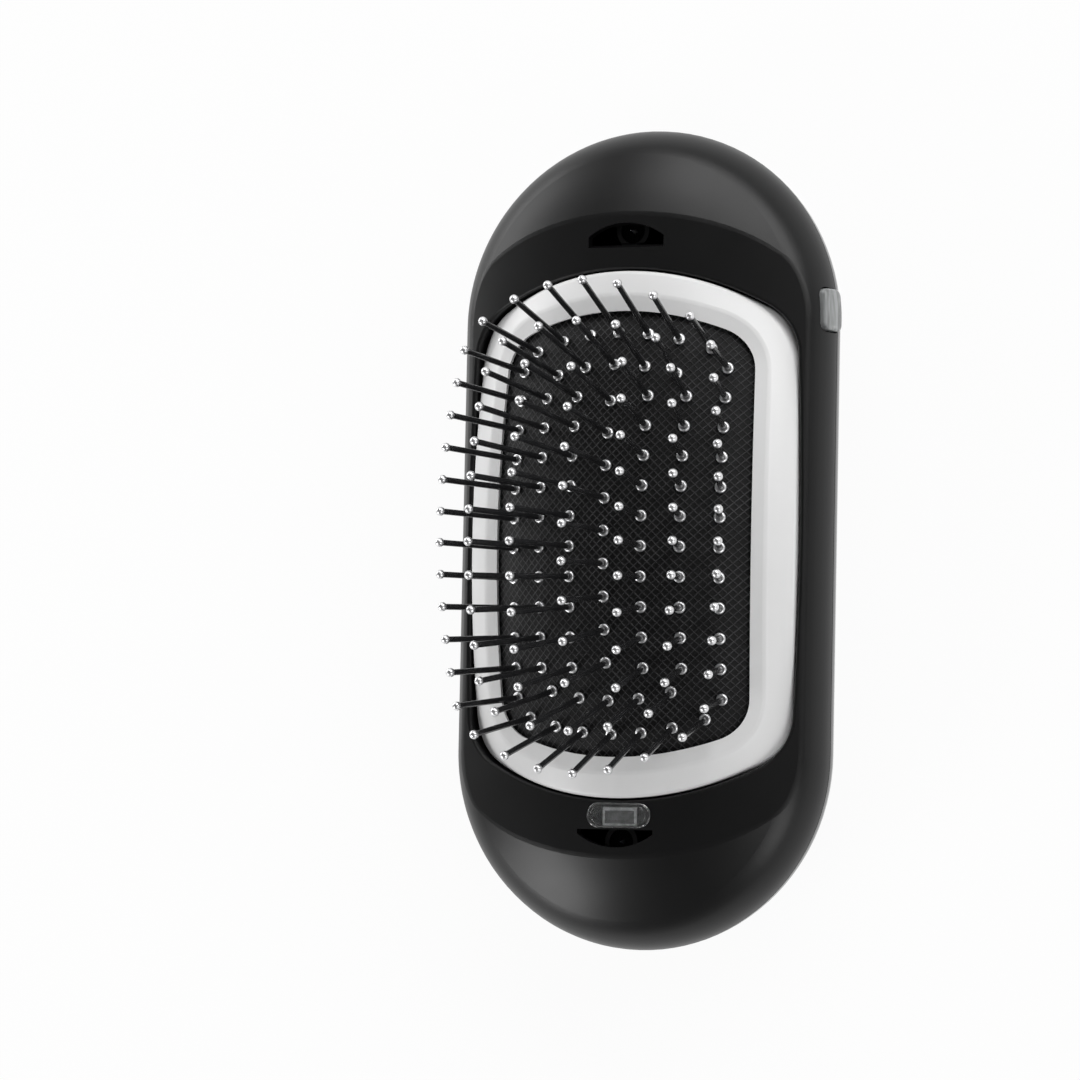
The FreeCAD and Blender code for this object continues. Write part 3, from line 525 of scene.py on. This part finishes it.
# Grey of the lamp's cup, darker than the lamp body: painted shade in the lamp's recessed centre.
CUP_PAINTED_SHADE = MouldedPlastic("led_cup_painted_shade", (0.26, 0.26, 0.26), 0.3, grain_pitch=0.8 * MM,
                          grain_depth=0.03 * MM)
BALL_STEEL = BrightMetal("ball_bright_steel", (0.80, 0.80, 0.81), 0.36, mark_depth=0.0004 * MM)
EYELET_NICKEL = BrightMetal("eyelet_nickel", (0.84, 0.84, 0.85), 0.32, mark_depth=0.0006 * MM)
NEEDLE_STEEL = BrightMetal("needle_steel", (0.72, 0.72, 0.73), 0.22, stretch=(1.0, 1.0, 0.1))
CONTACT_NICKEL = BrightMetal("contact_nickel", (0.74, 0.73, 0.70), 0.26, stretch=(1.0, 1.0, 0.2))
SCREW_STEEL = BrightMetal("screw_zinc", (0.66, 0.67, 0.69), 0.3)
WEAVE = DiamondWeave("cushion_diamond_weave")
BOARD = CircuitBoard("board_green_mask")


def new_piece(name: str, mesh: bmesh.types.BMesh, finishes: list[Finish],
              smooth: bool = True) -> bpy.types.Object:
    """Turn a bmesh into an object at the origin, with its finishes.

    Args:
        name: Name of the piece.
        mesh: Shape in the frame's metres. It is freed.
        finishes: Finish of each material index.
        smooth: Whether faces are shaded smooth.

    Returns:
        The new object.
    """
    data = bpy.data.meshes.new(name)
    mesh.to_mesh(data)
    mesh.free()
    for finish in finishes:
        data.materials.append(finish.material())
    for polygon in data.polygons:
        polygon.use_smooth = smooth
    piece = bpy.data.objects.new(name, data)
    bpy.context.scene.collection.objects.link(piece)
    return piece


def seat_piece(piece: bpy.types.Object, body: Body, slot: str, *nodes: str) -> None:
    """Let a piece ride on a body and stand for solids.

    Args:
        piece: New piece.
        body: Body that carries it.
        slot: The record's material slot. Not used.
        *nodes: Solids that it stands for.
    """
    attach(piece, body.value)
    if nodes:
        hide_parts(*nodes)
    LOG.info("%s rides on %s: %d faces", piece.name, body.value, len(piece.data.polygons))


def dress_all(nodes: Nodes, finishes: dict[str, Finish]) -> None:
    """Give solids their finishes.

    Args:
        nodes: Objects of the solids by name.
        finishes: Finish of each solid by name.
    """
    for name, finish in finishes.items():
        finish.dress(nodes[name])


@dataclass
class CaseShells:
    """The satin front half, the glossy back half and the screws that hold them."""

    nodes: Nodes
    finishes: dict[str, Finish] = field(default_factory=lambda: {
        "front_shell": SATIN_FRONT, "back_shell": GLOSS_BACK, "case_screws": SCREW_STEEL})

    def build(self) -> None:
        """Dress the shells and screws."""
        dress_all(self.nodes, self.finishes)


@dataclass
class BrushHead:
    """The white frame, the woven cushion and its pins."""

    nodes: Nodes
    across_faces: int = 56
    along_faces: int = 92
    cushion_edge: float = 0.5 * MM
    cushion_corner: float = 5.5
    end_bow_radius: float = 60.0 * MM
    skin: float = 1.2 * MM
    eyelet_major: float = 0.80 * MM
    eyelet_minor: float = 0.45 * MM
    eyelet_steps: int = 14
    eyelet_sides: int = 8
    ball_diameter: float = 1.85 * MM
    ball_sink: float = 0.10 * MM
    ball_around: int = 16
    ball_rings: int = 10
    finishes: dict[str, Finish] = field(default_factory=lambda: {
        "brush_frame": WHITE_FRAME, "pad_base": INNER_BLACK, "bristle_pins": PIN_BLACK})

    def build(self) -> None:
        """Dress the rigid solids and make the cushion, the eyelets and the balls."""
        dress_all(self.nodes, self.finishes)
        cushion = self._cushion()
        seat_piece(cushion, Body.HEAD, "cushion_black", "cushion")
        eyelets = self._eyelets()
        seat_piece(eyelets, Body.HEAD, "bright_metal", "pin_collars")
        balls = self._balls()
        seat_piece(balls, Body.HEAD, "bright_metal", "ball_tips")

    def _cushion(self) -> bpy.types.Object:
        """Crowned skin laid over the cushion's solid, with a rounded outline tucked under the frame.

        Returns:
            The cushion piece.
        """
        low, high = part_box("cushion")
        half_across = (high.x - low.x) / 2 - self.cushion_edge
        half_along = (high.y - low.y) / 2 - self.cushion_edge
        mesh = bmesh.new()
        bmesh.ops.create_grid(mesh, x_segments=self.across_faces, y_segments=self.along_faces, size=1.0)
        solid = self._solid_tree("cushion")
        power = self.cushion_corner
        for vertex in mesh.verts:
            reach = max(abs(vertex.co.x), abs(vertex.co.y))
            outline = (abs(vertex.co.x) ** power + abs(vertex.co.y) ** power) ** (1.0 / power)
            share = reach / outline if outline > 0.0 else 1.0
            x = half_across * vertex.co.x * share
            bow = x * x / (2.0 * self.end_bow_radius)
            y = (half_along - bow) * vertex.co.y * share
            vertex.co = Vector((x, y, self._top_of(solid, x, y, high.z)))
        bmesh.ops.solidify(mesh, geom=list(mesh.faces), thickness=self.skin)
        bmesh.ops.recalc_face_normals(mesh, faces=list(mesh.faces))
        return new_piece("woven_cushion", mesh, [WEAVE])

    def _solid_tree(self, node: str) -> BVHTree:
        """Search tree of a solid's mesh.

        Args:
            node: Name of the solid.

        Returns:
            The tree.
        """
        return BVHTree.FromObject(self.nodes[node], bpy.context.evaluated_depsgraph_get())

    @staticmethod
    def _top_of(solid: BVHTree, x: float, y: float, ceiling: float) -> float:
        """Height of a solid's top at a place, or of its nearest point beside it.

        Args:
            solid: Search tree of the solid.
            x: Place across.
            y: Place along.
            ceiling: Height to look down from.

        Returns:
            The height.
        """
        hit = solid.ray_cast(Vector((x, y, ceiling + MM)), Vector((0.0, 0.0, -1.0)))[0]
        if hit is None:
            hit = solid.find_nearest(Vector((x, y, ceiling)))[0]
        return hit.z

    def _islands(self, node: str) -> list[np.ndarray]:
        """Points of each separate shape in a solid's mesh.

        Args:
            node: Name of the solid.

        Returns:
            One array of points for each shape.
        """
        mesh = bmesh.new()
        mesh.from_mesh(self.nodes[node].data)
        bmesh.ops.remove_doubles(mesh, verts=list(mesh.verts), dist=WELD)
        mesh.verts.index_update()
        islands = []
        seen: set[int] = set()
        for start in mesh.verts:
            group = []
            waiting = [start]
            while waiting:
                vertex = waiting.pop()
                if vertex.index not in seen:
                    seen.add(vertex.index)
                    group.append(tuple(vertex.co))
                    waiting.extend(edge.other_vert(vertex) for edge in vertex.link_edges)
            if group:
                islands.append(np.array(group))
        mesh.free()
        return islands

    @staticmethod
    def _axis(points: np.ndarray, longest: bool) -> Vector:
        """Unit direction in which points spread most or least, turned upwards.

        Args:
            points: The points.
            longest: Whether the direction of most spread is wanted.

        Returns:
            The direction.
        """
        directions = np.linalg.eigh(np.cov((points - points.mean(0)).T))[1]
        axis = Vector(directions[:, -1 if longest else 0])
        return axis if axis.z > 0.0 else -axis

    def _eyelets(self) -> bpy.types.Object:
        """Rolled metal eyelets round the feet of the pins.

        Returns:
            The eyelet piece.
        """
        ring = bmesh.new()
        lay = Matrix.Translation((self.eyelet_major, 0.0, 0.0)) @ Matrix.Rotation(math.pi / 2, 4, "X")
        bmesh.ops.create_circle(ring, segments=self.eyelet_sides, radius=self.eyelet_minor, matrix=lay)
        bmesh.ops.spin(ring, geom=list(ring.verts) + list(ring.edges), axis=(0.0, 0.0, 1.0),
                       cent=(0.0, 0.0, 0.0), angle=2 * math.pi, steps=self.eyelet_steps, use_merge=True)
        bmesh.ops.remove_doubles(ring, verts=list(ring.verts), dist=WELD)
        bmesh.ops.recalc_face_normals(ring, faces=list(ring.faces))
        pattern = bpy.data.meshes.new("eyelet_pattern")
        ring.to_mesh(pattern)
        ring.free()
        mesh = bmesh.new()
        for points in self._islands("pin_collars"):
            mesh.from_mesh(pattern)
            mesh.verts.ensure_lookup_table()
            fresh = mesh.verts[-len(pattern.vertices):]
            turn = self._axis(points, longest=False).to_track_quat("Z", "Y").to_matrix().to_4x4()
            bmesh.ops.transform(mesh, matrix=Matrix.Translation(points.mean(0)) @ turn, verts=fresh)
        bpy.data.meshes.remove(pattern)
        return new_piece("pin_eyelets", mesh, [EYELET_NICKEL])

    def _balls(self) -> bpy.types.Object:
        """Bright balls seated on the ends of the pins.

        Returns:
            The piece with every ball.
        """
        mesh = bmesh.new()
        radius = self.ball_diameter / 2
        for points in self._islands("bristle_pins"):
            axis = self._axis(points, longest=True)
            heights = points @ np.array(axis)
            end = Vector(points[heights > heights.max() - self.ball_sink].mean(0))
            place = Matrix.Translation(end + axis * (radius - self.ball_sink))
            turn = axis.to_track_quat("Z", "Y").to_matrix().to_4x4()
            bmesh.ops.create_uvsphere(mesh, u_segments=self.ball_around, v_segments=self.ball_rings,
                                      radius=radius, matrix=place @ turn)
        return new_piece("bright_balls", mesh, [BALL_STEEL])


@dataclass
class PressButton:
    """The smoky button and the switch behind it."""

    nodes: Nodes
    finishes: dict[str, Finish] = field(default_factory=lambda: {
        "power_button": BUTTON_SMOKE, "switch_plunger": PLUNGER_WHITE, "push_switch": SWITCH_BLACK})

    def build(self) -> None:
        """Dress the button, plunger and switch."""
        dress_all(self.nodes, self.finishes)


@dataclass
class IndicatorLamp:
    """The clear lens and the lamp under it."""

    rim: float = 0.55 * MM
    cup_depth: float = 0.7 * MM
    cup_taper: float = 0.35 * MM
    edge_round: float = 0.18 * MM
    edge_angle: float = math.radians(80.0)
    edge_steps: int = 3
    leg_size: float = 0.5 * MM
    leg_spacing: float = 2.54 * MM
    body_height: float = 5.25 * MM
    flange_width: float = 0.85 * MM
    flange_drop: float = 0.34 * MM
    lens_round: float = 0.30 * MM
    lens_bevel: float = 0.60 * MM
    lens_crease: float = 0.06 * MM
    lens_arc_steps: int = 18
    lens_round_steps: int = 4

    def build(self) -> None:
        """Make the lens and the lamp."""
        lens = self._lens()
        seat_piece(lens, Body.CASE, "clear_lens", "indicator_lens")
        lamp = self._lamp()
        seat_piece(lamp, Body.CASE, "led_clear", "indicator_led")

    def _rounded_edge(self, inset: float, top: float) -> list[tuple[float, float]]:
        """Quarter round from an upright wall to a level face.

        Args:
            inset: Distance of the wall from the outline.
            top: Height of the level face.

        Returns:
            Distance from the outline and height of each step.
        """
        turns = [math.pi / 2 * step / self.lens_round_steps for step in range(self.lens_round_steps + 1)]
        return [(inset + self.lens_round * (1.0 - math.cos(turn)),
                 top - self.lens_round * (1.0 - math.sin(turn))) for turn in turns]

    def _lens(self) -> bpy.types.Object:
        """Clear pill with a flange round its raised middle.

        Returns:
            The lens piece.
        """
        low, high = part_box("indicator_lens")
        middle = (low + high) / 2
        end_radius = (high.y - low.y) / 2
        reach = (high.x - low.x) / 2 - end_radius
        flange = high.z - self.flange_drop
        wall = self.flange_width
        bevel = self.lens_bevel
        rings = [(bevel + self.lens_crease, low.z), (bevel, low.z), (0.0, low.z + bevel)]
        rings += self._rounded_edge(0.0, flange)
        rings += [(wall - self.lens_crease, flange), (wall, flange + self.lens_crease)]
        rings += self._rounded_edge(wall, high.z)
        rings.append((wall + self.lens_round + self.lens_crease, high.z))
        mesh = bmesh.new()
        loops = []
        for inset, height in rings:
            loop = []
            for side in (1.0, -1.0):
                for step in range(self.lens_arc_steps + 1):
                    turn = math.pi * (step / self.lens_arc_steps - 0.5)
                    radius = end_radius - inset
                    x = middle.x + side * (reach + radius * math.cos(turn))
                    loop.append(mesh.verts.new((x, middle.y + side * radius * math.sin(turn), height)))
            loops.append(loop)
        for lower, upper in zip(loops, loops[1:]):
            for k in range(len(lower)):
                mesh.faces.new((lower[k - 1], lower[k], upper[k], upper[k - 1]))
        mesh.faces.new(loops[0])
        mesh.faces.new(loops[-1])
        bmesh.ops.recalc_face_normals(mesh, faces=list(mesh.faces))
        return new_piece("stepped_lens", mesh, [LENS_CLEAR])

    def _lamp(self) -> bpy.types.Object:
        """Lamp body with a reflector cup in its top, grey as painted shade, and two legs.

        Returns:
            The lamp piece.
        """
        low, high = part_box("indicator_led")
        middle = (low + high) / 2
        finishes = [LED_MILK, CUP_PAINTED_SHADE, NEEDLE_STEEL]
        mesh = bmesh.new()
        size = Vector((high.x - low.x, high.y - low.y, self.body_height))
        centre = Vector((middle.x, middle.y, high.z - self.body_height / 2))
        block = Matrix.Translation(centre) @ Matrix.Diagonal((*size, 1.0))
        bmesh.ops.create_cube(mesh, size=1.0, matrix=block)
        top = max(mesh.faces, key=lambda face: face.calc_center_median().z)
        bmesh.ops.inset_region(mesh, faces=[top], thickness=self.rim, use_even_offset=True)
        bmesh.ops.inset_region(mesh, faces=[top], thickness=self.cup_taper, depth=-self.cup_depth,
                               use_even_offset=True)
        # The cup's floor and walls take the grey of painted shade.
        for face in mesh.faces:
            if face is top or top in {other for edge in face.edges for other in edge.link_faces}:
                face.material_index = finishes.index(CUP_PAINTED_SHADE)
        outer = [edge for edge in mesh.edges if edge.calc_face_angle(0.0) > self.edge_angle]
        bmesh.ops.bevel(mesh, geom=outer, offset=self.edge_round, affect="EDGES", segments=self.edge_steps,
                        profile=0.5, material=-1)
        leg_length = high.z - self.body_height - low.z
        for side in (1.0, -1.0):
            place = Vector((middle.x + side * self.leg_spacing / 2, middle.y, low.z + leg_length / 2))
            shape = Matrix.Diagonal((self.leg_size, self.leg_size, leg_length, 1.0))
            made = bmesh.ops.create_cube(mesh, size=1.0, matrix=Matrix.Translation(place) @ shape)
            for face in {face for vertex in made["verts"] for face in vertex.link_faces}:
                face.material_index = finishes.index(NEEDLE_STEEL)
        bmesh.ops.recalc_face_normals(mesh, faces=list(mesh.faces))
        return new_piece("indicator_lamp", mesh, finishes, smooth=False)


@dataclass
class Electronics:
    """Board, ion generator, emitters and leads inside the case."""

    nodes: Nodes
    finishes: dict[str, Finish] = field(default_factory=lambda: {
        "main_board": BOARD, "board_components": COMPONENT_GREY, "board_screws": SCREW_STEEL,
        "ion_generator": POTTING_GREY,
        "upper_emitter_needle": NEEDLE_STEEL, "lower_emitter_needle": NEEDLE_STEEL,
        "upper_emitter_holder": HOLDER_SHADED_BLACK, "lower_emitter_holder": HOLDER_SHADED_BLACK,
        "upper_high_voltage_lead": LEAD_RED, "lower_high_voltage_lead": LEAD_RED,
        "supply_leads": LEAD_BLACK, "led_leads": LEAD_BLACK, "battery_leads": LEAD_RED})

    def build(self) -> None:
        """Dress everything inside."""
        dress_all(self.nodes, self.finishes)


@dataclass
class PowerCells:
    """Two cells with their springs and contacts."""

    nodes: Nodes
    field_colour: Colour = (0.03, 0.032, 0.036)
    band_colour: Colour = (0.52, 0.30, 0.16)
    band_length: float = 11.0 * MM

    def build(self) -> None:
        """Dress the cells, springs and contacts."""
        for name in ("battery_cell_1", "battery_cell_2"):
            low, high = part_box(name)
            plus_is_far = abs(high.y) > abs(low.y)
            start = high.y - self.band_length if plus_is_far else low.y
            wrap = CellWrap(name + "_wrap", self.field_colour, self.band_colour, start,
                            start + self.band_length)
            wrap.dress(self.nodes[name])
        CONTACT_NICKEL.dress(self.nodes["battery_springs"], self.nodes["battery_contacts"])


@dataclass(frozen=True)
class Softbox:
    """A rectangular studio lamp that faces the brush."""

    name: str
    heading: tuple[float, float, float]
    distance: float
    width: float
    height: float
    power: float

    def light(self, target: Vector) -> None:
        """Hang the lamp and aim it.

        Args:
            target: Point that it faces.
        """
        lamp = bpy.data.lights.new(self.name, "AREA")
        lamp.shape = "RECTANGLE"
        lamp.size = self.width
        lamp.size_y = self.height
        lamp.energy = self.power
        holder = bpy.data.objects.new(self.name, lamp)
        away = Vector(self.heading).normalized()
        holder.location = target + away * self.distance
        holder.rotation_euler = away.to_track_quat("Z", "Y").to_euler()
        bpy.context.scene.collection.objects.link(holder)


@dataclass
class Studio:
    """White floor, soft lamps, a pale wall all round and the camera of the photograph."""

    target: Vector = field(default_factory=lambda: Vector((0.0, 0.0, 18.0 * MM)))
    yaw: float = math.radians(22.47)
    pitch: float = math.radians(3.57)
    roll: float = math.radians(-1.18)
    distance: float = 900.0 * MM
    focal_length: float = 147.1
    sensor_width: float = 36.0
    offset_right: float = 21.95 * MM
    offset_up: float = 0.25 * MM
    floor_half: float = 12.0
    floor_drop: float = 0.2 * MM
    floor_white: float = 0.9
    floor_glow: float = 0.94
    world_fill: float = 0.14
    wall_glow: float = 1.0
    wall_top: float = 0.12
    lamps: tuple[Softbox, ...] = (
        Softbox("top_softbox", (0.38, 0.73, 0.57), 0.85, 1.30, 0.34, 6.9),
        Softbox("left_softbox", (-0.86, 0.48, 0.14), 0.90, 0.70, 0.20, 2.5),
        Softbox("low_softbox", (-0.68, -0.60, 0.42), 0.90, 0.40, 0.34, 3.4),
        Softbox("right_fill", (0.74, -0.50, 0.50), 1.20, 0.60, 0.60, 3.6),
    )

    def build(self) -> None:
        """Set up floor, world, lamps and camera."""
        self._floor()
        self._world()
        for lamp in self.lamps:
            lamp.light(self.target)
        self._camera()
        bpy.context.scene.view_settings.view_transform = "Standard"

    def _seen(self, tree: bpy.types.NodeTree) -> bpy.types.NodeSocket:
        """Socket that is 1 for camera, mirror and glass rays.

        Args:
            tree: Node tree of the floor.

        Returns:
            The value socket.
        """
        path = tree.nodes.new("ShaderNodeLightPath")
        total = path.outputs["Is Camera Ray"]
        for name in ("Is Glossy Ray", "Is Transmission Ray"):
            larger = tree.nodes.new("ShaderNodeMath")
            larger.operation = "MAXIMUM"
            tree.links.new(total, larger.inputs[0])
            tree.links.new(path.outputs[name], larger.inputs[1])
            total = larger.outputs["Value"]
        return total

    def _floor(self) -> None:
        """Plain floor that shows white and keeps a soft shadow."""
        material = bpy.data.materials.new("studio_floor")
        material.use_nodes = True
        tree = material.node_tree
        tree.nodes.clear()
        matte = tree.nodes.new("ShaderNodeBsdfDiffuse")
        matte.inputs["Color"].default_value = (self.floor_white, self.floor_white, self.floor_white, 1.0)
        glow = tree.nodes.new("ShaderNodeEmission")
        share = tree.nodes.new("ShaderNodeMath")
        share.operation = "MULTIPLY"
        share.inputs[1].default_value = self.floor_glow
        tree.links.new(self._seen(tree), share.inputs[0])
        both = tree.nodes.new("ShaderNodeMixShader")
        tree.links.new(share.outputs["Value"], both.inputs[0])
        tree.links.new(matte.outputs[0], both.inputs[1])
        tree.links.new(glow.outputs[0], both.inputs[2])
        output = tree.nodes.new("ShaderNodeOutputMaterial")
        tree.links.new(both.outputs[0], output.inputs["Surface"])
        mesh = bmesh.new()
        under = Matrix.Translation((0.0, 0.0, -self.floor_drop))
        bmesh.ops.create_grid(mesh, x_segments=1, y_segments=1, size=self.floor_half, matrix=under)
        data = bpy.data.meshes.new("studio_floor")
        mesh.to_mesh(data)
        mesh.free()
        data.materials.append(material)
        floor = bpy.data.objects.new("studio_floor", data)
        bpy.context.scene.collection.objects.link(floor)

    def _world(self) -> None:
        """White studio wall near the horizon that fades to a dim, even ceiling."""
        world = bpy.data.worlds.new("studio_world")
        world.use_nodes = True
        tree = world.node_tree
        sky = next(node for node in tree.nodes if node.type == "BACKGROUND")
        sky.inputs["Color"].default_value = (1.0, 1.0, 1.0, 1.0)
        way = tree.nodes.new("ShaderNodeTexCoord")
        axes = tree.nodes.new("ShaderNodeSeparateXYZ")
        tree.links.new(way.outputs["Generated"], axes.inputs["Vector"])
        strength = tree.nodes.new("ShaderNodeMapRange")
        strength.interpolation_type = "SMOOTHSTEP"
        strength.inputs["From Max"].default_value = self.wall_top
        strength.inputs["To Min"].default_value = self.wall_glow
        strength.inputs["To Max"].default_value = self.world_fill
        tree.links.new(axes.outputs["Z"], strength.inputs["Value"])
        tree.links.new(strength.outputs["Result"], sky.inputs["Strength"])
        bpy.context.scene.world = world

    def _camera(self) -> None:
        """Camera at the photograph's angle."""
        right = Vector((math.cos(self.yaw), 0.0, -math.sin(self.yaw)))
        up = Vector((math.sin(self.yaw) * math.sin(self.pitch), math.cos(self.pitch),
                     math.cos(self.yaw) * math.sin(self.pitch)))
        back = right.cross(up)
        turned_right = right * math.cos(self.roll) - up * math.sin(self.roll)
        turned_up = right * math.sin(self.roll) + up * math.cos(self.roll)
        offset = turned_right * self.offset_right + turned_up * self.offset_up
        place = self.target + back * self.distance - offset
        lens = bpy.data.cameras.new("photo_camera")
        lens.sensor_width = self.sensor_width
        lens.lens = self.focal_length
        camera = bpy.data.objects.new("photo_camera", lens)
        turn = Matrix((turned_right, turned_up, back)).transposed().to_4x4()
        camera.matrix_world = Matrix.Translation(place) @ turn
        bpy.context.scene.collection.objects.link(camera)
        bpy.context.scene.camera = camera


def main() -> None:
    """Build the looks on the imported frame."""
    logging.basicConfig(level=logging.INFO, format="%(message)s")
    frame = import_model()
    nodes: Nodes = frame["nodes"]
    for assembly in (CaseShells(nodes), BrushHead(nodes), PressButton(nodes), IndicatorLamp(),
                     Electronics(nodes), PowerCells(nodes)):
        assembly.build()
    Studio().build()


if __name__ == "__main__":
    main()
